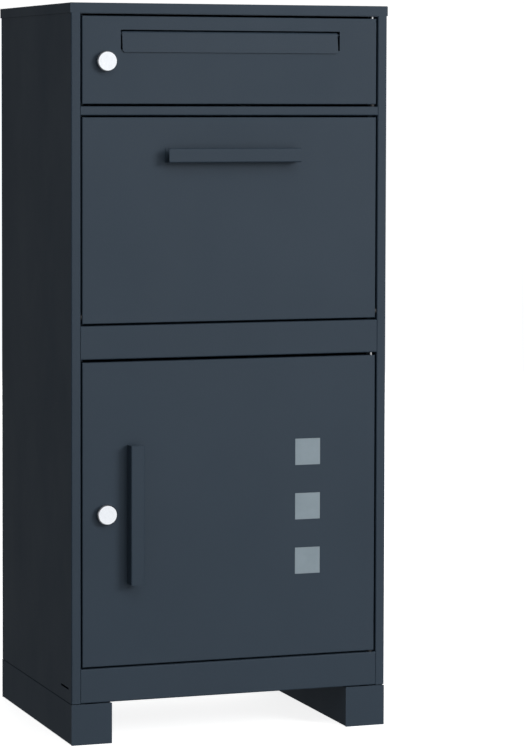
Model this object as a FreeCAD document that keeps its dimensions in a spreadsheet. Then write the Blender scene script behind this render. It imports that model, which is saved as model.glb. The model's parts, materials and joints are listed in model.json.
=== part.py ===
"""Freestanding parcel and letter box of folded sheet steel.

Millimetres. +Z is up, the doors face -Y and +X is on the right of a person who faces them.
The origin is on the floor, in the middle of the overall box, pull handles included.
"""

import FreeCAD, Part
import os
import re
import Sketcher

SIZES = {
    # the whole box
    "width": 455,
    "depth": 365,
    "height": 1000,
    "handle_reach": 18,
    # folded sheet
    "sheet": 1,
    "bend": 0.8,
    # lid and walls
    "lid_overhang": 1,
    "lid_skirt": 13.5,
    "stile_width": 14.3,
    "jamb_depth": 18,
    "stop_lip": 8,
    "rear_flange": 20,
    "slit_start": 14,
    "slit_length": 38,
    "slit_bottom": 73.8,
    "slit_height": 2.6,
    # runners under the cabinet
    "runner_width": 57,
    "runner_height": 55.5,
    "runner_flange": 20,
    "seam": 1,
    "anchor_radius": 5,
    "anchor_spacing": 250,
    "floor_flange": 15,
    "bolt_spacing": 200,
    "bolt_radius": 3,
    "bolt_hole": 3.2,
    "bolt_length": 14,
    "hexagon": 5.8,
    "bolt_head": 4,
    "nut_height": 5,
    # fixing to a wall
    "wall_hole_radius": 4.2,
    "wall_hole_across": 150,
    "wall_hole_low": 350,
    "wall_hole_high": 930,
    "rivet_radius": 1.6,
    "rivet_head": 3.2,
    "rivet_head_thick": 0.9,
    "rivet_bulb": 2.4,
    "rivet_tail": 3,
    "lowest_rivet": 110,
    "highest_rivet": 910,
    # openings in the front, from the floor up
    "bottom_rail_top": 103,
    "collection_bottom": 105.4,
    "collection_top": 517.8,
    "middle_rail_bottom": 521.6,
    "middle_rail_top": 567,
    "parcel_bottom": 569.9,
    "parcel_top": 847,
    "upper_rail_bottom": 849.5,
    "upper_rail_top": 861.8,
    "letter_bottom": 864.8,
    "letter_top": 982.5,
    # doors
    "left_edge": 16.3,
    "right_edge": 16.7,
    "tray_depth": 16,
    "flap_depth": 13,
    "hinge_inset": 21.2,
    "hinge_behind": 5,
    "pin_radius": 2,
    "pin_fit": 0.05,
    "press_fit": 0.02,
    "pin_head": 3.4,
    "pin_head_thick": 2,
    "pin_below": 4,
    "pin_above": 5,
    "pin_drop": 7,
    "washer_radius": 3.8,
    "washer_play": 0.2,
    "bumper_radius": 3.4,
    "bumper_across": 4,
    "bumper_inset": 16,
    "bumper_gap": 0.1,
    # slot and letter flap
    "slot_left": 70.2,
    "slot_right": 384.2,
    "slot_bottom": 937.9,
    "slot_top": 964.3,
    "flap_gap": 2.2,
    "flap_hand_gap": 3,
    "flap_corner": 2.5,
    "flap_axis_behind": 4.2,
    "flap_axis_height": 959.2,
    "knuckle_radius": 3.4,
    "rod_radius": 1.75,
    "flap_drop": 25.5,
    "flap_tilt": 7,
    "flap_bore_fit": 0.08,
    "ledge_length": 300,
    "ledge_depth": 14,
    "ledge_drop": 25,
    "bracket_gap": 1.7,
    "bracket_foot": 13,
    "bracket_reach": 8,
    "bracket_height": 16,
    # locks
    "lock_across": 49.4,
    "letter_lock_height": 922,
    "collection_lock_height": 312.2,
    "bezel_radius": 13.75,
    "bezel_reach": 5.5,
    "cover_gap": 0.5,
    "cover_thick": 3,
    "cover_pivot_up": 10.2,
    "cover_rim": 1.2,
    "post_radius": 1.5,
    "post_length": 4,
    "barrel_radius": 8.5,
    "barrel_length": 20,
    "plug_radius": 5.5,
    "plug_recess": 0.3,
    "key_thick": 1.6,
    "key_width": 7.2,
    "key_depth": 8,
    "lock_nut": 12.4,
    "lock_nut_thick": 4,
    "cam_length": 38,
    "cam_width": 16,
    "cam_thick": 2,
    "tail_width": 7,
    "cam_screw_head": 6,
    "cam_screw_thick": 2.6,
    "cam_screw_length": 8,
    # pull handles
    "handle_length": 189,
    "handle_width": 19,
    "handle_lip": 4.5,
    "parcel_handle_height": 795.6,
    "collection_handle_left": 79.5,
    "collection_handle_height": 310.8,
    "handle_screw_inset": 20,
    "screw_radius": 2,
    "screw_hole": 2.1,
    "screw_head": 4,
    "screw_head_thick": 2.4,
    "screw_length": 4,
    # panes
    "pane_across": 339.3,
    "pane_height": 311.6,
    "pane_pitch": 75.4,
    "pane_width": 36.5,
    "pane_thick": 2,
    "pane_recess": 0.1,
    "insert_width": 50,
    "insert_margin": 28,
    "plate_width": 72,
    "plate_margin": 32,
    "stud_across": 30,
    "stud_up": 60,
    "stud_radius": 1.5,
    "stud_hole": 1.6,
    "stud_length": 7,
    "stud_nut": 3.2,
    "stud_nut_height": 2.4,
    # hopper behind the parcel flap
    "hopper_behind": 6,
    "hopper_up": 9,
    "hopper_pin_radius": 3,
    "hopper_pin_length": 10,
    "hopper_pin_inside": 3,
    "hopper_pin_head": 4.5,
    "hopper_washer": 4.8,
    "hopper_play": 0.4,
    "cheek_across": 203.5,
    "tray_reach": 180,
    "tray_lip": 10,
    "tray_slope": 25,
    "cheek_reach": 177,
    "cheek_below": 12,
    "cheek_tab": 12,
    "hopper_swing": 50,
    "lug_radius": 3,
    "lug_height": 150,
    "guard_behind": 175,
    "guard_bottom": 660,
    "guard_flange": 16,
    "guard_hem": 9,
}

FORMULAS = {
    "front": "(handle_reach - depth) / 2",
    "side": "width / 2 - lid_overhang",
    "inner_wall": "side - 2.5 * sheet",
    "rear": "front + depth - lid_overhang",
    "stile": "width / 2 - stile_width",
    "stop": "front + jamb_depth",
    "behind_stop": "stop + sheet",
    "back_face": "rear - 2 * sheet",
    "cabinet_bottom": "runner_height + seam",
    "cabinet_top": "height - sheet",
    "door_left": "left_edge - width / 2",
    "door_right": "width / 2 - right_edge",
    "hinge_x": "width / 2 - hinge_inset",
    "hinge_y": "front + hinge_behind",
    "middle_y": "(front + rear) / 2",
    "runner_middle": "side - runner_width / 2",
    "hopper_y": "front + hopper_behind",
    "hopper_z": "parcel_bottom + hopper_up",
    "lock_x": "lock_across - width / 2",
    "flap_axis_y": "front + flap_axis_behind",
    "cam_y": "front + barrel_length + 0.5",
    "cover_y": "front - bezel_reach - cover_gap - cover_thick",
    "pane_x": "pane_across - width / 2",
}

DOC = FreeCAD.newDocument("ParcelLetterBox")
SHEET = DOC.addObject("Spreadsheet::Sheet", "Sizes")
NORMAL = {"XY": 1, "XZ": -1, "YZ": 1}
NODES = []


def fill_sheet():
    """One row per driving size: its name in column A, its number in column B."""
    for row, (name, value) in enumerate(SIZES.items(), start=1):
        SHEET.set("A%d" % row, name)
        SHEET.set("B%d" % row, str(value))
        SHEET.setAlias("B%d" % row, name)
    DOC.recompute()


def formula(text):
    """The text with every derived size written out and every driving size read from the sheet."""

    def swap(match):
        word = match.group()
        if word in FORMULAS:
            return "(" + formula(FORMULAS[word]) + ")"
        return "Sizes." + word if word in SIZES else word

    return re.sub(r"[a-z_]+", swap, text)


def value(text):
    return float(SHEET.evalExpression(formula(text)))


def bind(thing, name, text):
    thing.setExpression(name, formula(text))


def new_body(name):
    body = DOC.addObject("PartDesign::Body", name)
    body.Label = name
    NODES.append(body)
    return body


def tilt(body, height, behind, angle):
    """Place a body that is drawn about the X axis at its real pivot and angle."""
    body.Placement.Rotation = FreeCAD.Rotation(FreeCAD.Vector(1, 0, 0), 1)
    bind(body, "Placement.Base.y", behind)
    bind(body, "Placement.Base.z", height)
    bind(body, "Placement.Rotation.Angle", angle)


def origin_plane(body, plane):
    return next(item for item in body.Origin.OriginFeatures if item.Role == plane + "_Plane")


def sketch(body, plane, level, loops=(), circles=()):
    """A fully constrained sketch on a plane parallel to an origin plane of its body."""
    drawing = body.newObject("Sketcher::SketchObject", "Outline")
    drawing.AttachmentSupport = [(origin_plane(body, plane), "")]
    drawing.MapMode = "FlatFace"
    bind(drawing, "AttachmentOffset.Base.z", level if NORMAL[plane] > 0 else "-(%s)" % level)
    for loop in loops:
        draw_loop(drawing, loop)
    for across, up, radius in circles:
        draw_circle(drawing, across, up, radius)
    return drawing


def pin_point(drawing, item, end, across, up):
    for kind, text in (("DistanceX", across), ("DistanceY", up)):
        place = Sketcher.Constraint(kind, -1, 1, item, end, value(text))
        number = drawing.addConstraint(place)
        bind(drawing, "Constraints[%d]" % number, text)


def draw_loop(drawing, loop):
    first = drawing.GeometryCount
    corners = [FreeCAD.Vector(value(across), value(up), 0) for across, up in loop]
    count = len(corners)
    for index in range(count):
        drawing.addGeometry(Part.LineSegment(corners[index], corners[(index + 1) % count]))
    for index in range(count):
        following = first + (index + 1) % count
        drawing.addConstraint(Sketcher.Constraint("Coincident", first + index, 2, following, 1))
    for index, (across, up) in enumerate(loop):
        pin_point(drawing, first + index, 1, across, up)


def draw_circle(drawing, across, up, radius):
    centre = FreeCAD.Vector(value(across), value(up), 0)
    item = drawing.addGeometry(Part.Circle(centre, FreeCAD.Vector(0, 0, 1), value(radius)))
    pin_point(drawing, item, 3, across, up)
    number = drawing.addConstraint(Sketcher.Constraint("Radius", item, value(radius)))
    bind(drawing, "Constraints[%d]" % number, radius)


def pad(body, plane, level, length, loops=(), circles=()):
    """Material from the level on towards the plane's positive world axis."""
    drawing = sketch(body, plane, level, loops, circles)
    feature = body.newObject("PartDesign::Pad", "Pad")
    feature.Profile = drawing
    feature.Reversed = NORMAL[plane] < 0
    bind(feature, "Length", length)
    DOC.recompute()


def cut(body, plane, level, length, loops=(), circles=()):
    """A pocket from the level on towards the plane's positive world axis."""
    before = body.Shape.Volume
    drawing = sketch(body, plane, level, loops, circles)
    feature = body.newObject("PartDesign::Pocket", "Pocket")
    feature.Profile = drawing
    feature.Reversed = NORMAL[plane] > 0
    bind(feature, "Length", length)
    DOC.recompute()
    if body.Shape.Volume > before - 0.01:
        raise RuntimeError("a pocket of %s cuts nothing" % body.Label)


def pierce(body, plane, face, loops=(), circles=()):
    """Openings through one sheet that starts at the given face."""
    cut(body, plane, "%s - sheet" % face, "3 * sheet", loops, circles)


def round_edges(body, radius, wanted):
    """Fillet the edges of the body's tip whose end points pass the test."""
    tip = body.Tip
    names = []
    for number, edge in enumerate(tip.Shape.Edges, start=1):
        ends = [vertex.Point for vertex in edge.Vertexes]
        if len(ends) == 2 and wanted(ends[0], ends[1]):
            names.append("Edge%d" % number)
    feature = body.newObject("PartDesign::Fillet", "Bend")
    feature.Base = (tip, names)
    bind(feature, "Radius", radius)
    DOC.recompute()


def rectangle(left, right, bottom, top):
    return [(left, bottom), (right, bottom), (right, top), (left, top)]


def box(body, across, along, up):
    """An axis-aligned block between pairs of sizes."""
    length = "(%s) - (%s)" % (up[1], up[0])
    pad(body, "XY", up[0], length, [rectangle(across[0], across[1], along[0], along[1])])


def rod(body, across, up, radius, start, length):
    """A round bar along Y."""
    pad(body, "XZ", start, length, circles=[(across, up, radius)])


def unit(start, end):
    step = [value(end[axis]) - value(start[axis]) for axis in (0, 1)]
    return [(number > 1e-6) - (number < -1e-6) for number in step]


def shifted(text, sign):
    return text if sign == 0 else "%s %s sheet" % (text, "+" if sign > 0 else "-")


def strip(name, plane, level, length, path):
    """Sheet folded along a right-angled path, its thickness on the left of the path."""
    steps = [unit(path[index], path[index + 1]) for index in range(len(path) - 1)]
    left = [(-step[1], step[0]) for step in steps]
    inner = []
    for index, (across, up) in enumerate(path):
        sides = left[max(index - 1, 0):index + 1]
        move = [sum(side[axis] for side in sides) for axis in (0, 1)]
        inner.append((shifted(across, move[0]), shifted(up, move[1])))
    body = new_body(name)
    pad(body, plane, level, length, [path + inner[::-1]])
    outside, inside = [], []
    for index in range(1, len(path) - 1):
        turn = steps[index - 1][0] * steps[index][1] - steps[index - 1][1] * steps[index][0]
        outside.append(path[index] if turn > 0 else inner[index])
        inside.append(inner[index] if turn > 0 else path[index])
    round_edges(body, "bend", bend_line(plane, inside))
    round_edges(body, "bend + sheet", bend_line(plane, outside))
    return body


def bend_line(plane, corners):
    """A test for the straight edges across the plane at the given corners."""
    axes = ["XYZ".index(letter) for letter in plane]
    places = [[value(across), value(up)] for across, up in corners]

    def wanted(start, end):
        for place in places:
            if all(abs(point[axes[k]] - place[k]) < 1e-4 for point in (start, end) for k in (0, 1)):
                return True
        return False

    return wanted


def pan(name, plane, outline, level, length, open_end):
    """A tray folded from one sheet: a face and four flanges, open at the far or near end."""
    left, right, bottom, top = outline
    body = new_body(name)
    pad(body, plane, level, length, [rectangle(left, right, bottom, top)])
    inset = rectangle(left + " + sheet", right + " - sheet", bottom + " + sheet", top + " - sheet")
    floor = "%s + sheet" % level if open_end == "far" else level
    cut(body, plane, floor, "(%s) - sheet" % length, [inset])
    axis = {"XY": 2, "XZ": 1, "YZ": 0}[plane]
    face = value(level) if open_end == "far" else value("%s + %s" % (level, length))

    def on_face(start, end):
        return abs(start[axis] - face) < 1e-4 and abs(end[axis] - face) < 1e-4

    round_edges(body, "bend + 0.4 * sheet", on_face)
    return body


# Cabinet


def side_panel(name, hand):
    """Side wall with its stile, jamb and door stop in front and its flange behind."""
    sign = "-" if hand < 0 else ""
    path = [
        ("%s(side - rear_flange)" % sign, "rear"),
        ("%sside" % sign, "rear"),
        ("%sside" % sign, "front"),
        ("%sstile" % sign, "front"),
        ("%sstile" % sign, "stop"),
        ("%s(stile - stop_lip)" % sign, "stop"),
    ]
    if hand > 0:
        path.reverse()
    body = strip(name, "XY", "cabinet_bottom", "cabinet_top - cabinet_bottom", path)
    edges = ["%s(width / 2 + 1)" % sign, "%s(stile - 0.1)" % sign]
    if hand > 0:
        edges.reverse()
    notch = rectangle(edges[0], edges[1], "front - 1", "front + sheet")
    cut(body, "XY", "cabinet_top - lid_skirt + sheet", "lid_skirt", [notch])
    slit_end = "front + slit_start + slit_length"
    slit = rectangle("front + slit_start", slit_end, "slit_bottom", "slit_bottom + slit_height")
    cut(body, "YZ", "%sside - 2 * sheet" % sign, "4 * sheet", [slit])
    pivot = [("hopper_y", "hopper_z", "hopper_pin_radius + press_fit")]
    cut(body, "YZ", "%sstile - 2 * sheet" % sign, "4 * sheet", circles=pivot)
    pierce(body, "XZ", "rear - sheet", circles=rivet_holes([sign]))


def rivet_holes(signs):
    """Five rivets down each rear flange."""
    spots = []
    for sign in signs:
        for step in range(5):
            height = "lowest_rivet + %d * (highest_rivet - lowest_rivet) / 4" % step
            spots.append(("%s(side - rear_flange / 2)" % sign, height, "rivet_radius"))
    return spots


def back_panel():
    body = new_body("back_panel")
    wide = ("-(inner_wall)", "inner_wall")
    box(body, wide, ("back_face", "back_face + sheet"), ("cabinet_bottom", "cabinet_top - sheet"))
    pierce(body, "XZ", "back_face", circles=rivet_holes(["-", ""]))
    walls = []
    for sign in ("-", ""):
        for height in ("wall_hole_low", "wall_hole_high"):
            walls.append(("%swall_hole_across" % sign, height, "wall_hole_radius"))
    pierce(body, "XZ", "back_face", circles=walls)


def back_rivets():
    """Blind rivets: a flat head outside, the shank through both sheets and a bulb inside."""
    rivets = []
    for across, up, radius in rivet_holes(["-", ""]):
        x, z = value(across), value(up)
        tail, tail_end = value("rivet_tail"), value("back_face - rivet_tail")
        head = cylinder_y(x, z, value("rivet_head"), value("rear"), value("rivet_head_thick"))
        shank = cylinder_y(x, z, value(radius), tail_end, tail + value("2.5 * sheet"))
        bulb = cylinder_y(x, z, value("rivet_bulb"), tail_end, tail)
        rivets.append(head.fuse(shank).fuse(bulb).removeSplitter())
    finish_group("back_rivets", rivets)


def finish_group(name, solids):
    """Identical fasteners share one node; their sizes are read from the sheet."""
    feature = DOC.addObject("Part::Feature", name)
    feature.Label = name
    feature.Shape = Part.makeCompound(solids)
    feature.Placement = FreeCAD.Placement()
    NODES.append(feature)


def cylinder(x, y, z, radius, length, axis):
    return Part.makeCylinder(radius, length, FreeCAD.Vector(x, y, z), FreeCAD.Vector(*axis))


def cylinder_y(x, z, radius, start, length):
    return cylinder(x, start, z, radius, length, (0, 1, 0))


def cylinder_z(x, y, radius, start, length):
    return cylinder(x, y, start, radius, length, (0, 0, 1))


def hexagon_z(x, y, radius, start, length):
    """A hexagonal bar along Z, its radius to the corners."""
    corners = Part.makeCircle(radius, FreeCAD.Vector(x, y, start)).discretize(7)
    return Part.Face(Part.makePolygon(corners)).extrude(FreeCAD.Vector(0, 0, length))


def lid():
    outline = ("-width / 2", "width / 2", "front", "front + depth")
    pan("lid", "XY", outline, "height - lid_skirt", "lid_skirt", "near")


def anchor_holes():
    spots = []
    for side in ("-", ""):
        for end in ("-", "+"):
            place = "middle_y %s anchor_spacing / 2" % end
            spots.append(("%srunner_middle" % side, place, "anchor_radius"))
    return spots


def bolt_places():
    """Eight bolts, four through the two top flanges of each runner."""
    places = []
    for side in ("-", ""):
        for inset in ("runner_flange / 2", "runner_width - runner_flange / 2"):
            for end in ("-", "+"):
                along = "middle_y %s bolt_spacing / 2" % end
                places.append(("%s(side - (%s))" % (side, inset), along))
    return places


def floor_pan():
    wall = "side - sheet"
    outline = ("-(%s)" % wall, wall, "behind_stop", "back_face")
    body = pan("floor_pan", "XY", outline, "runner_height", "floor_flange", "far")
    holes = anchor_holes()
    for across, along in bolt_places():
        holes.append((across, along, "bolt_hole"))
    pierce(body, "XY", "runner_height", circles=holes)


def floor_fasteners():
    """Hexagon bolts from inside the cabinet, with nuts under the runner flanges."""
    bolts, nuts = [], []
    corner, radius = value("hexagon"), value("bolt_radius")
    top, length = value("runner_height + sheet"), value("bolt_length")
    thick = value("nut_height")
    under = value("runner_height - sheet") - thick
    for across, along in bolt_places():
        x, y = value(across), value(along)
        head = hexagon_z(x, y, corner, top, value("bolt_head"))
        bolts.append(head.fuse(cylinder_z(x, y, radius, top - length, length)).removeSplitter())
        bore = cylinder_z(x, y, radius + value("press_fit"), under, thick)
        nuts.append(hexagon_z(x, y, corner, under, thick).cut(bore))
    finish_group("floor_bolts", bolts)
    finish_group("floor_nuts", nuts)


def rail(name, bottom, top):
    """A channel between the stiles, its open side to the back."""
    tail = "stop - sheet"
    path = [(tail, top), ("front", top), ("front", bottom), (tail, bottom)]
    return strip(name, "YZ", "-stile", "2 * stile", path)


def rails():
    """Three rails between the stiles and one behind the lid skirt, with the hinge pin holes."""
    hole = [("hinge_x", "hinge_y", "pin_radius + press_fit")]
    bottom = rail("bottom_rail", "cabinet_bottom", "bottom_rail_top")
    pierce(bottom, "XY", "bottom_rail_top - sheet", circles=hole)
    middle = rail("middle_rail", "middle_rail_bottom", "middle_rail_top")
    pierce(middle, "XY", "middle_rail_bottom", circles=hole)
    upper = rail("upper_rail", "upper_rail_bottom", "upper_rail_top")
    pierce(upper, "XY", "upper_rail_top - sheet", circles=hole)
    low = "height - lid_skirt - sheet"
    tail = "stop - sheet"
    path = [("front + sheet", low), (tail, low), (tail, "cabinet_top")]
    top = strip("top_rail", "YZ", "-stile", "2 * stile", path)
    pierce(top, "XY", low, circles=hole)


def letter_shelf():
    wall = "side - sheet"
    outline = ("-(%s)" % wall, wall, "behind_stop", "back_face")
    height = "upper_rail_top - upper_rail_bottom"
    pan("letter_shelf", "XY", outline, "upper_rail_bottom", height, "near")


def reach_guard():
    """A fixed apron under the shelf that stops a hand from reaching past the open hopper."""
    under = "upper_rail_top - sheet"
    path = [
        ("front + guard_behind + guard_flange", under),
        ("front + guard_behind", under),
        ("front + guard_behind", "guard_bottom"),
        ("front + guard_behind + guard_hem", "guard_bottom"),
    ]
    strip("reach_guard", "YZ", "-(inner_wall)", "2 * inner_wall", path)


def runner(name, hand):
    """A closed foot channel: walls, sole, and two flanges under the floor pan."""
    sign = "-" if hand < 0 else ""
    inner = "side - runner_width"
    path = [
        ("%s(side - runner_flange)" % sign, "runner_height"),
        ("%sside" % sign, "runner_height"),
        ("%sside" % sign, "0"),
        ("%s(%s)" % (sign, inner), "0"),
        ("%s(%s)" % (sign, inner), "runner_height"),
        ("%s(%s + runner_flange)" % (sign, inner), "runner_height"),
    ]
    if hand > 0:
        path.reverse()
    length = "rear - front - 2 * sheet"
    body = strip(name + "_runner", "XZ", "front + sheet", length, path)
    holes = [spot for spot in anchor_holes() if spot[0].startswith("-") == (hand < 0)]
    pierce(body, "XY", "0", circles=holes)
    bolts = []
    for across, along in bolt_places():
        if across.startswith("-") == (hand < 0):
            bolts.append((across, along, "bolt_hole"))
    pierce(body, "XY", "runner_height - sheet", circles=bolts)
    caps = []
    for end in ("front", "rear - sheet"):
        left = min(value("%sside" % sign), value("%s(%s)" % (sign, inner)))
        size = (value("runner_width"), value("sheet"), value("runner_height"))
        caps.append(Part.makeBox(*size, FreeCAD.Vector(left, value(end), 0)))
    finish_group(name + "_runner_caps", caps)


def washer(x, y, z, pin, radius, thick, axis):
    outer = cylinder(x, y, z, radius, thick, axis)
    return outer.cut(cylinder(x, y, z, pin + value("press_fit"), thick, axis))


def hinge_pins():
    """Doors hang between short pins: the upper has a head, the lower a washer that carries."""
    x, y, radius = value("hinge_x"), value("hinge_y"), value("pin_radius")
    doors = {
        "letter": ("upper_rail_top", "letter_bottom", "letter_top", "height - lid_skirt"),
        "collection": (
            "bottom_rail_top",
            "collection_bottom",
            "collection_top",
            "middle_rail_bottom + sheet",
        ),
    }
    below, above, drop = value("pin_below"), value("pin_above"), value("pin_drop")
    cap, cap_thick = value("pin_head"), value("pin_head_thick")
    wide, play = value("washer_radius"), value("washer_play")
    washers = []
    for name, levels in doors.items():
        sill, bottom, top, head = [value(text) for text in levels]
        lower = cylinder_z(x, y, radius, sill - below, bottom + above - (sill - below))
        upper = cylinder_z(x, y, radius, top - drop, head + cap_thick - (top - drop))
        upper = upper.fuse(cylinder_z(x, y, cap, head, cap_thick)).removeSplitter()
        finish_group(name + "_door_pins", [lower, upper])
        washers.append(washer(x, y, sill, radius, wide, bottom - sill - play, (0, 0, 1)))
    finish_group("door_washers", washers)


def hopper_pins():
    """Shoulder pins through the jambs carry the flap, with a washer in each gap."""
    y, z, radius = value("hopper_y"), value("hopper_z"), value("hopper_pin_radius")
    inside, length = value("hopper_pin_inside"), value("hopper_pin_length")
    cap, cap_thick = value("hopper_pin_head"), value("pin_head_thick")
    wide, play = value("hopper_washer"), value("hopper_play")
    pins, washers = [], []
    for hand in (-1, 1):
        axis = (hand, 0, 0)
        jamb = hand * value("stile")
        flange = value("door_left") if hand < 0 else value("door_right")
        pin = cylinder(flange - hand * inside, y, z, radius, length, axis)
        head = cylinder(jamb + hand * value("sheet"), y, z, cap, cap_thick, axis)
        pins.append(pin.fuse(head).removeSplitter())
        room = abs(jamb - flange) - play
        washers.append(washer(flange + hand * play / 2, y, z, radius, wide, room, axis))
    finish_group("hopper_pins", pins)
    finish_group("hopper_washers", washers)


def bumpers():
    """Rubber buttons on the stops, where the tray edges of the doors come to rest."""
    ends = (
        ("tray_depth", "letter_bottom + bumper_inset", (-1,)),
        ("tray_depth", "letter_top - bumper_inset", (-1,)),
        ("tray_depth", "collection_bottom + bumper_inset", (-1,)),
        ("tray_depth", "collection_top - bumper_inset", (-1,)),
        ("flap_depth", "parcel_top - bumper_inset", (-1, 1)),
    )
    radius, across = value("bumper_radius"), value("stile - bumper_across")
    buttons = []
    for depth, height, hands in ends:
        room = value("jamb_depth - %s - bumper_gap" % depth)
        near = value("stop") - room
        for hand in hands:
            button = cylinder_y(hand * across, value(height), radius, near, room)
            rim = [edge for edge in button.Edges if edge.BoundBox.YMax < near + 0.01]
            buttons.append(button.makeFillet(radius / 6, rim))
    finish_group("bumpers", buttons)


# Locks


def lock(name, height):
    """A cam lock: barrel with bezel, nut, plug, cam, cam screw and swivelling weather cover."""
    face, back = "front - bezel_reach", "cam_y + cam_thick"
    pivot = "%s + cover_pivot_up" % height
    barrel = new_body(name + "_lock_barrel")
    rod(barrel, "lock_x", height, "bezel_radius", face, "bezel_reach")
    rod(barrel, "lock_x", height, "barrel_radius", "front", "barrel_length")
    bore = [("lock_x", height, "plug_radius + pin_fit")]
    cut(barrel, "XZ", face + " - sheet", "barrel_length + bezel_reach + 2 * sheet", circles=bore)
    cut(barrel, "XZ", face, "post_length + 0.5", circles=[("lock_x", pivot, "post_radius + pin_fit")])
    notch = ("lock_x - bezel_radius * cos(30)", "%s + bezel_radius * sin(30)" % height)
    cut(barrel, "XZ", face, "bezel_reach / 2", circles=[(*notch, "post_radius")])

    nut = new_body(name + "_lock_nut")
    corners = []
    for step in range(6):
        angle = 60 * step
        across, up = "lock_x + lock_nut * cos(%d)" % angle, "%s + lock_nut * sin(%d)" % (height, angle)
        corners.append((across, up))
    bore = [("lock_x", height, "barrel_radius + press_fit")]
    pad(nut, "XZ", "front + sheet", "lock_nut_thick", [corners], bore)

    plug = new_body(name + "_lock_plug")
    start = face + " + plug_recess"
    rod(plug, "lock_x", height, "plug_radius", start, "cam_y - (%s)" % start)
    pad(plug, "XZ", "cam_y", "cam_thick", [square(height, "tail_width / 2")])
    hole = [("lock_x", height, "screw_radius + press_fit")]
    cut(plug, "XZ", "%s - cam_screw_length - sheet" % back, "cam_screw_length + 2 * sheet", circles=hole)
    keyway = rectangle(
        "lock_x - key_thick / 2",
        "lock_x + key_thick / 2",
        "%s - key_width / 2" % height,
        "%s + key_width / 2" % height,
    )
    cut(plug, "XZ", face, "key_depth", [keyway])

    cam = new_body(name + "_lock_cam")
    edges = ("lock_x - cam_width / 2", "lock_x + cam_width / 2")
    ends = ("%s - cam_length" % height, "%s + cam_width / 2" % height)
    outline = rectangle(*edges, *ends)
    pad(cam, "XZ", "cam_y", "cam_thick", [outline, square(height, "tail_width / 2 + press_fit")])
    corners = [(across, up) for across in edges for up in ends]
    round_edges(cam, "cam_width / 2 - 2", bend_line("XZ", corners))

    seat = value(back)
    thick, shank = value("cam_screw_thick"), value("cam_screw_length")
    x, z = value("lock_x"), value(height)
    screw = cylinder_y(x, z, value("cam_screw_head"), seat, thick)
    rim = [edge for edge in screw.Edges if edge.BoundBox.YMin > seat + thick - 0.1]
    screw = screw.makeFillet(1, rim).fuse(cylinder_y(x, z, value("screw_radius"), seat - shank, shank))
    finish_group(name + "_lock_cam_screw", [screw.removeSplitter()])

    cover = new_body(name + "_lock_cover")
    rod(cover, "lock_x", height, "bezel_radius", "cover_y", "cover_thick")
    outer = value("cover_y")
    edges = enumerate(cover.Shape.Edges, start=1)
    names = ["Edge%d" % number for number, edge in edges if edge.BoundBox.YMax < outer + 0.01]
    chamfer = cover.newObject("PartDesign::Chamfer", "Rim")
    chamfer.Base = (cover.Group[-2], names)
    bind(chamfer, "Size", "cover_rim")
    DOC.recompute()
    rod(cover, "lock_x", pivot, "post_radius", "cover_y + cover_thick", "cover_gap + post_length - 0.5")


def square(height, half):
    left, right = "lock_x - (%s)" % half, "lock_x + (%s)" % half
    return rectangle(left, right, "%s - (%s)" % (height, half), "%s + (%s)" % (height, half))


# Letter door


def letter_door():
    outline = ("door_left", "door_right", "letter_bottom", "letter_top")
    panel = pan("letter_door_panel", "XZ", outline, "front", "tray_depth", "far")
    slot = rectangle("slot_left - width / 2", "slot_right - width / 2", "slot_bottom", "slot_top")
    hole = [("lock_x", "letter_lock_height", "barrel_radius + 0.1")]
    pierce(panel, "XZ", "front", [slot], hole)
    hinge_bores(panel, "letter_bottom", "letter_top")

    low = "slot_bottom - 2 * sheet"
    path = [
        ("front + sheet + ledge_depth", low),
        ("front + sheet", low),
        ("front + sheet", low + " - ledge_drop"),
    ]
    strip("slot_ledge", "YZ", "-ledge_length / 2", "ledge_length", path)

    left, right = "slot_left - width / 2 - bracket_gap", "slot_right - width / 2 + bracket_gap"
    face, tip = "front + sheet", "front + sheet + bracket_reach"
    left_path = [(left + " - bracket_foot", face), (left, face), (left, tip)]
    right_path = [(right, tip), (right, face), (right + " + bracket_foot", face)]
    spot = [("flap_axis_y", "flap_axis_height", "rod_radius + press_fit")]
    ears = (
        ("left_flap_bracket", left_path, left + " - sheet"),
        ("right_flap_bracket", right_path, right),
    )
    for name, path, wall in ears:
        ear = strip(name, "XY", "flap_axis_height - bracket_height / 2", "bracket_height", path)
        pierce(ear, "YZ", wall, circles=spot)

    bar = new_body("flap_rod")
    reach = "(%s) - (%s) + 4 * sheet" % (right, left)
    spot = [("flap_axis_y", "flap_axis_height", "rod_radius")]
    pad(bar, "YZ", left + " - 2 * sheet", reach, circles=spot)


def hinge_bores(panel, bottom, top):
    bore = [("hinge_x", "hinge_y", "pin_radius + pin_fit")]
    pierce(panel, "XY", bottom, circles=bore)
    pierce(panel, "XY", top + " - sheet", circles=bore)


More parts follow.
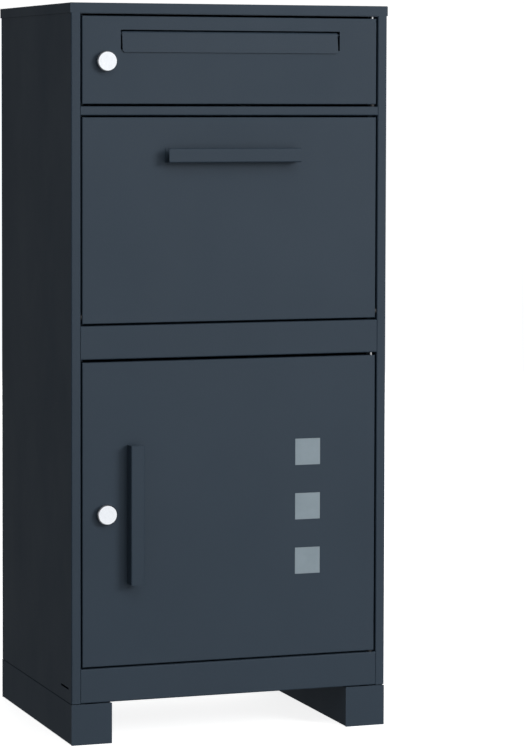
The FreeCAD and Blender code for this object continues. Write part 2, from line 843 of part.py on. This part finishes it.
def letter_flap():
    """A leaf under a rolled knuckle; it leans out so that its lower edge rests on the door."""
    body = new_body("letter_flap")
    left = "slot_left - width / 2 + flap_gap"
    right = "slot_right - width / 2 - flap_hand_gap"
    length = "slot_right - slot_left - flap_gap - flap_hand_gap"
    pad(body, "YZ", left, length, circles=[("0", "0", "knuckle_radius")])
    leaf = [
        ("-knuckle_radius", "0"),
        ("-knuckle_radius", "-flap_drop"),
        ("-knuckle_radius + 2.1 * sheet", "-flap_drop"),
        ("-knuckle_radius + 2.1 * sheet", "-flap_drop + sheet"),
        ("-knuckle_radius + sheet", "-flap_drop + sheet"),
        ("-knuckle_radius + sheet", "0"),
    ]
    pad(body, "YZ", left, length, [leaf])
    bore = [("0", "0", "rod_radius + flap_bore_fit")]
    cut(body, "YZ", left + " - sheet", length + " + 2 * sheet", circles=bore)
    low, rise = "-flap_drop", "-flap_drop + flap_corner"
    corners = [
        [(left, low), (left + " + flap_corner", low), (left, rise)],
        [(right, low), (right, rise), (right + " - flap_corner", low)],
    ]
    cut(body, "XZ", "-knuckle_radius - sheet", "4 * sheet", corners)
    tilt(body, "flap_axis_height", "flap_axis_y", "-flap_tilt")


# Parcel flap and hopper


def parcel_flap():
    outline = ("door_left", "door_right", "parcel_bottom", "parcel_top")
    panel = pan("parcel_flap_panel", "XZ", outline, "front", "flap_depth", "far")
    bore = [("hopper_y", "hopper_z", "hopper_pin_radius + pin_fit")]
    pierce(panel, "YZ", "door_left", circles=bore)
    pierce(panel, "YZ", "door_right - sheet", circles=bore)
    screws = []
    for end in ("-", ""):
        spot = "%s(handle_length / 2 - handle_screw_inset)" % end
        screws.append((spot, "parcel_handle_height", "screw_hole"))
    pierce(panel, "XZ", "front", circles=screws)

    low = "parcel_handle_height - handle_width / 2"
    high = "parcel_handle_height + handle_width / 2"
    path = [
        ("front - handle_reach + handle_lip", high),
        ("front - handle_reach", high),
        ("front - handle_reach", low),
        ("front", low),
        ("front", high),
    ]
    pull = strip("parcel_flap_handle", "YZ", "-handle_length / 2", "handle_length", path)
    pierce(pull, "XZ", "front - sheet", circles=screws)
    handle_screws("parcel_handle_screws", screws)


def handle_screws(name, spots):
    solids = []
    seat, thick, length = value("front + sheet"), value("screw_head_thick"), value("screw_length")
    for across, up, _ in spots:
        x, z = value(across), value(up)
        head = cylinder_y(x, z, value("screw_head"), seat, thick)
        rim = [edge for edge in head.Edges if edge.BoundBox.YMin > seat + thick - 0.1]
        shank = cylinder_y(x, z, value("screw_radius"), seat - length, length)
        solids.append(head.makeFillet(1, rim).fuse(shank).removeSplitter())
    finish_group(name, solids)


def hopper():
    """Tray and cheeks that tip with the flap, and the lugs that stop it on the door stops."""
    path = [("-hopper_pin_radius", "0"), ("tray_reach", "0"), ("tray_reach", "-tray_lip")]
    tray = strip("hopper_tray", "YZ", "-cheek_across", "2 * cheek_across", path)
    tilt(tray, "hopper_z", "hopper_y", "-tray_slope")

    tip_y = "hopper_y + cheek_reach * cos(tray_slope) + sheet * sin(tray_slope)"
    tip_z = "hopper_z - cheek_reach * sin(tray_slope) + sheet * cos(tray_slope)"
    inner = "front + sheet"
    rise = "(hopper_behind - sheet) * tan(tray_slope) + sheet / cos(tray_slope)"
    profile = [
        (inner, "parcel_top - cheek_below"),
        (inner, "hopper_z + %s" % rise),
        (tip_y, tip_z),
        ("hopper_y + 165", "hopper_z + 20"),
        ("hopper_y + 105", "hopper_z + 127"),
        ("hopper_y + 12", "parcel_top - cheek_below"),
    ]
    for name, sign, start in (("left", "-", "-cheek_across"), ("right", "", "cheek_across - sheet")):
        cheek = new_body(name + "_cheek")
        pad(cheek, "YZ", start, "sheet", [profile])
        inner_edge = "%s(cheek_across - sheet - cheek_tab)" % sign
        ends = ["%s(cheek_across - sheet)" % sign, inner_edge]
        if sign == "":
            ends.reverse()
        high = ("hopper_z + 14", "parcel_top - 16")
        box(cheek, (ends[0], ends[1]), ("front + sheet", "front + 2 * sheet"), high)

    open_y = value("jamb_depth - hopper_behind + sheet + lug_radius") + 0.3
    spot = FreeCAD.Vector(0, open_y, value("lug_height"))
    back = FreeCAD.Rotation(FreeCAD.Vector(1, 0, 0), -value("hopper_swing"))
    closed = back.multVec(spot)
    lugs = []
    for hand in (-1, 1):
        y, z = value("hopper_y") + closed.y, value("hopper_z") + closed.z
        x = hand * value("cheek_across")
        lugs.append(cylinder(x, y, z, value("lug_radius"), 6, (hand, 0, 0)))
    finish_group("hopper_stop_lugs", lugs)


# Collection door


def pane_rows():
    return ["pane_height - pane_pitch", "pane_height", "pane_height + pane_pitch"]


def pane_squares(margin):
    loops = []
    half = "pane_width / 2 - %s" % margin
    for row in pane_rows():
        left, right = "pane_x - (%s)" % half, "pane_x + (%s)" % half
        loops.append(rectangle(left, right, "%s - (%s)" % (row, half), "%s + (%s)" % (row, half)))
    return loops


def collection_door():
    outline = ("door_left", "door_right", "collection_bottom", "collection_top")
    panel = pan("collection_door_panel", "XZ", outline, "front", "tray_depth", "far")
    left = "collection_handle_left - width / 2"
    holes = []
    for end in ("-", "+"):
        height = "collection_handle_height %s (handle_length / 2 - handle_screw_inset)" % end
        holes.append((left + " + handle_width / 2", height, "screw_hole"))
    lock_hole = [("lock_x", "collection_lock_height", "barrel_radius + 0.1")]
    pierce(panel, "XZ", "front", pane_squares("0"), holes + lock_hole)
    hinge_bores(panel, "collection_bottom", "collection_top")

    path = [
        (left + " + handle_width", "front"),
        (left, "front"),
        (left, "front - handle_reach"),
        (left + " + handle_width", "front - handle_reach"),
        (left + " + handle_width", "front - handle_reach + handle_lip"),
    ]
    start = "collection_handle_height - handle_length / 2"
    pull = strip("collection_door_handle", "XY", start, "handle_length", path)
    pierce(pull, "XZ", "front - sheet", circles=holes)
    handle_screws("collection_handle_screws", holes)


def window():
    """One translucent strip with three raised squares, clamped by a plate on four studs."""
    insert = new_body("window_insert")
    pad(insert, "XZ", "front + sheet", "pane_thick", [window_outline("insert_width", "insert_margin")])
    raised = pane_squares("pane_recess")
    pad(insert, "XZ", "front + pane_recess", "sheet - pane_recess", raised)

    plate = new_body("window_retainer")
    seat = "front + sheet + pane_thick"
    outline = window_outline("plate_width", "plate_margin")
    pad(plate, "XZ", seat, "sheet", [outline] + pane_squares("0"))
    spots = []
    for side in ("-", "+"):
        for end in ("-", "+"):
            place = ("pane_x %s stud_across" % side, "pane_height %s stud_up" % end)
            spots.append((*place, "stud_hole"))
    pierce(plate, "XZ", seat, circles=spots)

    studs, nuts = [], []
    radius, corner, thick = value("stud_radius"), value("stud_nut"), value("stud_nut_height")
    upright = FreeCAD.Rotation(FreeCAD.Vector(1, 0, 0), -90)
    for across, up, _ in spots:
        x, z = value(across), value(up)
        studs.append(cylinder_y(x, z, radius, value("front + sheet"), value("stud_length")))
        bore = cylinder_z(0, 0, radius + value("press_fit"), 0, thick)
        nut = hexagon_z(0, 0, corner, 0, thick).cut(bore)
        place = FreeCAD.Vector(x, value(seat + " + sheet"), z)
        nut.Placement = FreeCAD.Placement(place, upright)
        nuts.append(nut)
    finish_group("window_studs", studs)
    finish_group("window_nuts", nuts)


def window_outline(width, margin):
    low = "pane_height - pane_pitch - %s" % margin
    high = "pane_height + pane_pitch + %s" % margin
    return rectangle("pane_x - %s / 2" % width, "pane_x + %s / 2" % width, low, high)


def check_and_export():
    DOC.recompute()
    for item in DOC.Objects:
        if "Invalid" in item.State or "Error" in item.State:
            raise RuntimeError("%s failed: %s" % (item.Label, item.State))
    os.makedirs("parts", exist_ok=True)
    for node in NODES:
        if node.Shape.isNull() or not node.Shape.isValid():
            raise RuntimeError("%s has no valid shape" % node.Label)
    for node in NODES:
        node.Shape.exportStep("parts/%s.step" % node.Label)


fill_sheet()
side_panel("left_side_panel", -1)
side_panel("right_side_panel", 1)
back_panel()
back_rivets()
lid()
floor_pan()
floor_fasteners()
rails()
letter_shelf()
reach_guard()
runner("left", -1)
runner("right", 1)
hinge_pins()
hopper_pins()
bumpers()
letter_door()
letter_flap()
lock("letter", "letter_lock_height")
parcel_flap()
hopper()
collection_door()
window()
lock("collection", "collection_lock_height")
check_and_export()
print(len(NODES), "nodes")
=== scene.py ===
"""Looks of the parcel and letter box: powder-coated sheet steel, chrome locks, frosted panes.

Metres, in the frame of the CAD model. Each material is procedural and has its own function.
"""

import json
import math

import bpy
from mathutils import Matrix, Vector


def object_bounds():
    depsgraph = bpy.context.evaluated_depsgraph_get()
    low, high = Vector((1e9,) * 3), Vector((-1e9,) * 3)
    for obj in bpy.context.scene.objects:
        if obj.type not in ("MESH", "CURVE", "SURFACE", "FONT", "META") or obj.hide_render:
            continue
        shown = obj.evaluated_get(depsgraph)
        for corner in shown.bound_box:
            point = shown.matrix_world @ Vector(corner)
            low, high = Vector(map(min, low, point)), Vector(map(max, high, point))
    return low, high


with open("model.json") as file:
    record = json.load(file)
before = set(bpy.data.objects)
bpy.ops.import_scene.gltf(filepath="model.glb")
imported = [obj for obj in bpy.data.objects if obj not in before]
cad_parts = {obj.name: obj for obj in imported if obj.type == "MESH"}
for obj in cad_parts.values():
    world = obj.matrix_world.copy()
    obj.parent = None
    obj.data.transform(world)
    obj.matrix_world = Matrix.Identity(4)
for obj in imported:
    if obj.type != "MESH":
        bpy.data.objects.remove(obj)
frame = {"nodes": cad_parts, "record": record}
CAD_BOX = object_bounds()

MM = 0.001
SENSOR_HEIGHT = 36.0  # of the camera, in its own millimetres

# The cabinet's front left corner; the pulls stand out in front of its face.
PULL_DEPTH = 18 * MM
CABINET_LEFT = CAD_BOX[0][0]
CABINET_FRONT = CAD_BOX[0][1] + PULL_DEPTH
FLOOR = CAD_BOX[0][2]


# Node helpers


def new_material(name):
    material = bpy.data.materials.new(name)
    material.use_nodes = True
    return material, material.node_tree


def noise(tree, scale, detail=2.0, roughness=0.5, stretch=None):
    """Noise fixed to the metal: it reads the object's own coordinates."""
    place = tree.nodes.new("ShaderNodeTexCoord").outputs["Object"]
    if stretch:
        mapping = tree.nodes.new("ShaderNodeMapping")
        mapping.inputs["Scale"].default_value = stretch
        tree.links.new(place, mapping.inputs["Vector"])
        place = mapping.outputs["Vector"]
    texture = tree.nodes.new("ShaderNodeTexNoise")
    texture.inputs["Scale"].default_value = scale
    texture.inputs["Detail"].default_value = detail
    texture.inputs["Roughness"].default_value = roughness
    tree.links.new(place, texture.inputs["Vector"])
    return texture.outputs["Fac"]


def remap(tree, source, low, high, start=0.0, end=1.0):
    node = tree.nodes.new("ShaderNodeMapRange")
    node.inputs["From Min"].default_value = start
    node.inputs["From Max"].default_value = end
    node.inputs["To Min"].default_value = low
    node.inputs["To Max"].default_value = high
    tree.links.new(source, node.inputs["Value"])
    return node.outputs["Result"]


def colours(tree, source, low, high):
    """Each end of the ramp is a place along it and the colour there."""
    node = tree.nodes.new("ShaderNodeValToRGB")
    for element, (place, colour) in zip(node.color_ramp.elements, (low, high)):
        element.position = place
        element.color = (*colour, 1)
    tree.links.new(source, node.inputs["Fac"])
    return node.outputs["Color"]


def multiply_colours(tree, first, second):
    """The Mix node keeps its factor at input 0 and its two colours at inputs 6 and 7."""
    node = tree.nodes.new("ShaderNodeMix")
    node.data_type = "RGBA"
    node.blend_type = "MULTIPLY"
    node.inputs[0].default_value = 1.0
    tree.links.new(first, node.inputs[6])
    tree.links.new(second, node.inputs[7])
    return node.outputs[2]


def bump(tree, height, strength, distance, normal=None):
    node = tree.nodes.new("ShaderNodeBump")
    node.inputs["Strength"].default_value = strength
    node.inputs["Distance"].default_value = distance
    tree.links.new(height, node.inputs["Height"])
    if normal:
        tree.links.new(normal, node.inputs["Normal"])
    return node.outputs["Normal"]


def surface(tree):
    return next(node for node in tree.nodes if node.type == "BSDF_PRINCIPLED")


# Materials


def powder_coat():
    """Satin anthracite powder coat with a fine orange peel and faint handling marks."""
    material, tree = new_material("powder_coat")
    shader = surface(tree)
    cloud = noise(tree, 5.0, 3.0)
    tone = colours(tree, cloud, (0.3, (0.0355, 0.0545, 0.0775)), (0.7, (0.0385, 0.0585, 0.0830)))
    grain = noise(tree, 1400.0, 2.0, 0.6)
    speck = colours(tree, grain, (0.35, (0.94, 0.94, 0.94)), (0.65, (1.06, 1.06, 1.06)))
    tone = multiply_colours(tree, tone, speck)
    tree.links.new(tone, shader.inputs["Base Color"])
    wipe = noise(tree, 9.0, 5.0, 0.6, (1.0, 1.0, 0.6))
    tree.links.new(remap(tree, wipe, 0.46, 0.54, 0.3, 0.7), shader.inputs["Roughness"])
    peel = noise(tree, 420.0, 2.0, 0.5)
    normal = bump(tree, peel, 0.10, 0.0006)
    normal = bump(tree, grain, 0.06, 0.0002, normal)
    tree.links.new(normal, shader.inputs["Normal"])
    shader.inputs["Specular IOR Level"].default_value = 0.2
    return material


def zinc():
    """Bright zinc plate with a soft spangle."""
    material, tree = new_material("zinc")
    shader = surface(tree)
    cells = tree.nodes.new("ShaderNodeTexVoronoi")
    cells.inputs["Scale"].default_value = 260.0
    place = tree.nodes.new("ShaderNodeTexCoord")
    tree.links.new(place.outputs["Object"], cells.inputs["Vector"])
    spangle = cells.outputs["Distance"]
    tone = colours(tree, spangle, (0.0, (0.50, 0.51, 0.52)), (1.0, (0.62, 0.63, 0.65)))
    tree.links.new(tone, shader.inputs["Base Color"])
    haze = noise(tree, 90.0, 4.0)
    tree.links.new(remap(tree, haze, 0.26, 0.42, 0.3, 0.7), shader.inputs["Roughness"])
    tree.links.new(bump(tree, haze, 0.08, 0.0003), shader.inputs["Normal"])
    shader.inputs["Metallic"].default_value = 1.0
    return material


def lock_chrome():
    """Satin chrome with a soft haze and fine upright scuffs."""
    material, tree = new_material("lock_chrome")
    shader = surface(tree)
    haze = noise(tree, 160.0, 5.0, 0.6)
    tone = colours(tree, haze, (0.3, (0.58, 0.60, 0.63)), (0.7, (0.64, 0.66, 0.69)))
    tree.links.new(tone, shader.inputs["Base Color"])
    tree.links.new(remap(tree, haze, 0.22, 0.28, 0.3, 0.7), shader.inputs["Roughness"])
    scuff = noise(tree, 900.0, 3.0, 0.6, (1.0, 1.0, 0.15))
    tree.links.new(bump(tree, scuff, 0.02, 0.0001), shader.inputs["Normal"])
    shader.inputs["Metallic"].default_value = 1.0
    return material


def frosted_pane():
    """Frosted acrylic, pale grey against the dark steel, with a fine sandblasted grain."""
    material, tree = new_material("frosted_pane")
    shader = surface(tree)
    cloud = noise(tree, 60.0, 4.0)
    tone = colours(tree, cloud, (0.3, (0.270, 0.338, 0.382)), (0.7, (0.299, 0.370, 0.417)))
    tree.links.new(tone, shader.inputs["Base Color"])
    frost = noise(tree, 3000.0, 3.0, 0.7)
    tree.links.new(remap(tree, frost, 0.42, 0.60), shader.inputs["Roughness"])
    tree.links.new(bump(tree, frost, 0.20, 0.0001), shader.inputs["Normal"])
    return material


def rubber():
    """Matt black rubber with a moulded grain."""
    material, tree = new_material("rubber")
    shader = surface(tree)
    grain = noise(tree, 1800.0, 3.0, 0.6)
    tone = colours(tree, grain, (0.3, (0.012, 0.012, 0.013)), (0.7, (0.022, 0.022, 0.023)))
    tree.links.new(tone, shader.inputs["Base Color"])
    tree.links.new(remap(tree, grain, 0.62, 0.85), shader.inputs["Roughness"])
    tree.links.new(bump(tree, grain, 0.3, 0.0002), shader.inputs["Normal"])
    return material


def nylon():
    """Moulded black nylon, a little smoother than the rubber."""
    material, tree = new_material("black_nylon")
    shader = surface(tree)
    mottle = noise(tree, 700.0, 3.0, 0.5)
    tone = colours(tree, mottle, (0.3, (0.009, 0.009, 0.010)), (0.7, (0.015, 0.015, 0.016)))
    tree.links.new(tone, shader.inputs["Base Color"])
    tree.links.new(remap(tree, mottle, 0.45, 0.60), shader.inputs["Roughness"])
    tree.links.new(bump(tree, mottle, 0.15, 0.0002), shader.inputs["Normal"])
    return material


def studio_paper():
    """White paper for the floor and the dome, with a glow that keeps shadows on it faint."""
    material, tree = new_material("studio_paper")
    shader = surface(tree)
    fibre = noise(tree, 30.0, 4.0)
    tone = colours(tree, fibre, (0.3, (0.8514,) * 3), (0.7, (0.86,) * 3))
    tree.links.new(tone, shader.inputs["Base Color"])
    shader.inputs["Roughness"].default_value = 0.9
    shader.inputs["Emission Color"].default_value = (1.0, 1.0, 1.0, 1)
    shader.inputs["Emission Strength"].default_value = 0.85
    return material


def dress_nodes():
    """Every CAD node gets its slot's material, and coated and chromed metal fine broken edges."""
    finishes = {
        "coated_steel": powder_coat(),
        "zinc_steel": zinc(),
        "lock_chrome": lock_chrome(),
        "frosted_pane": frosted_pane(),
        "rubber": rubber(),
        "black_nylon": nylon(),
    }
    slots = {entry["node"]: entry["material_slot"] for entry in frame["record"]["subparts"]}
    edge_width = {"coated_steel": 0.25 * MM, "lock_chrome": 0.25 * MM}
    for name, node in frame["nodes"].items():
        slot = slots[name]
        node.data.materials.clear()
        node.data.materials.append(finishes[slot])
        if slot in edge_width:
            break_edges(node, edge_width[slot])


def break_edges(node, width):
    bevel = node.modifiers.new("edge", "BEVEL")
    bevel.width = width
    bevel.segments = 2
    bevel.limit_method = "ANGLE"
    bevel.angle_limit = math.radians(50)
    bevel.harden_normals = True


# Studio


def backdrop():
    """A round floor that curves up into a pale dome, wide enough for a camera on any side.

    It glows for the camera alone, so it lights nothing and isn't mirrored in the object.
    """
    reach, cove, sides, rows = 11.0, 2.5, 96, 24
    quarter = [math.pi / 2 * row / rows for row in range(rows + 1)]
    profile = [
        (reach - cove + cove * math.sin(turn), FLOOR + cove * (1 - math.cos(turn)))
        for turn in quarter
    ]
    profile += [
        (reach * math.cos(turn), FLOOR + cove + reach * math.sin(turn)) for turn in quarter[1:-1]
    ]
    around = [2 * math.pi * side / sides for side in range(sides)]
    vertices = [(0, 0, FLOOR)]
    for radius, height in profile:
        vertices += [(radius * math.cos(turn), radius * math.sin(turn), height) for turn in around]
    faces = []
    for side in range(sides):
        following = (side + 1) % sides
        faces.append((0, 1 + side, 1 + following))
        for row in range(len(profile) - 1):
            low, high = 1 + row * sides, 1 + (row + 1) * sides
            faces.append((low + side, high + side, high + following, low + following))
    mesh = bpy.data.meshes.new("backdrop")
    mesh.from_pydata(vertices, [], faces)
    mesh.shade_smooth()
    mesh.materials.append(studio_paper())
    sheet = bpy.data.objects.new("backdrop", mesh)
    sheet.visible_diffuse = False
    sheet.visible_glossy = False
    bpy.context.collection.objects.link(sheet)


def area_light(name, place, target, size, power):
    """A rectangular lamp, its size in metres and its power in watts."""
    data = bpy.data.lights.new(name, "AREA")
    data.shape = "RECTANGLE"
    data.size, data.size_y = size
    data.energy = power
    lamp = bpy.data.objects.new(name, data)
    lamp.location = place
    aim = Vector(target) - Vector(place)
    lamp.rotation_euler = aim.to_track_quat("-Z", "Y").to_euler()
    bpy.context.collection.objects.link(lamp)


def lights():
    """A soft key from the front right, a low wide fill, and weak lamps for the lid, side and back.

    The fill reaches below the floor line, so that the lower lock mirrors it as the upper one does.
    """
    area_light("key", (3.3, -4.2, 2.3), (0.0, 0.0, 0.1), (1.8, 1.8), 117)
    area_light("fill", (0.9, -4.0, 0.35), (0.0, 0.0, 0.2), (3.2, 3.4), 45)
    area_light("top", (0.0, -3.0, 3.6), (0.0, 0.0, 0.3), (2.6, 1.6), 26)
    area_light("side_card", (-2.8, -1.35, 0.7), (-0.2, -0.2, 0.6), (0.8, 1.6), 2.0)
    area_light("rear", (1.6, 4.6, 2.0), (0.0, 0.0, 0.55), (3.0, 2.5), 95)
    world = bpy.data.worlds.new("studio")
    world.use_nodes = True
    background = world.node_tree.nodes["Background"]
    background.inputs["Color"].default_value = (0.94, 0.97, 1.0, 1)
    background.inputs["Strength"].default_value = 0.17
    bpy.context.scene.world = world


def camera():
    """The photograph's point of view: in front, to the left, 0.88 m above the floor.

    Its place, angles and focal length were solved from the cabinet's corners in the photograph.
    """
    azimuth, pitch, roll = (math.radians(angle) for angle in (19.55, 3.12, 0.15))
    data = bpy.data.cameras.new("camera")
    data.sensor_fit = "VERTICAL"
    data.sensor_height = SENSOR_HEIGHT
    data.lens = 4.17202 * SENSOR_HEIGHT
    data.shift_y = -0.148
    data.clip_start = 0.1
    data.clip_end = 50
    right = Vector((math.cos(azimuth), -math.sin(azimuth), 0))
    level_ahead = Vector((math.sin(azimuth), math.cos(azimuth), 0))
    ahead = level_ahead * math.cos(pitch) - Vector((0, 0, math.sin(pitch)))
    up = right.cross(ahead)
    rolled_right = right * math.cos(roll) + up * math.sin(roll)
    rolled_up = up * math.cos(roll) - right * math.sin(roll)
    turn = Matrix((rolled_right, rolled_up, -ahead)).transposed()
    place = Vector((CABINET_LEFT - 1.1509, CABINET_FRONT - 4.0062, 0.8799))
    lens = bpy.data.objects.new("camera", data)
    lens.matrix_world = Matrix.Translation(place) @ turn.to_4x4()
    bpy.context.collection.objects.link(lens)
    bpy.context.scene.camera = lens


camera()
dress_nodes()
backdrop()
lights()
bpy.context.scene.view_settings.view_transform = "Standard"
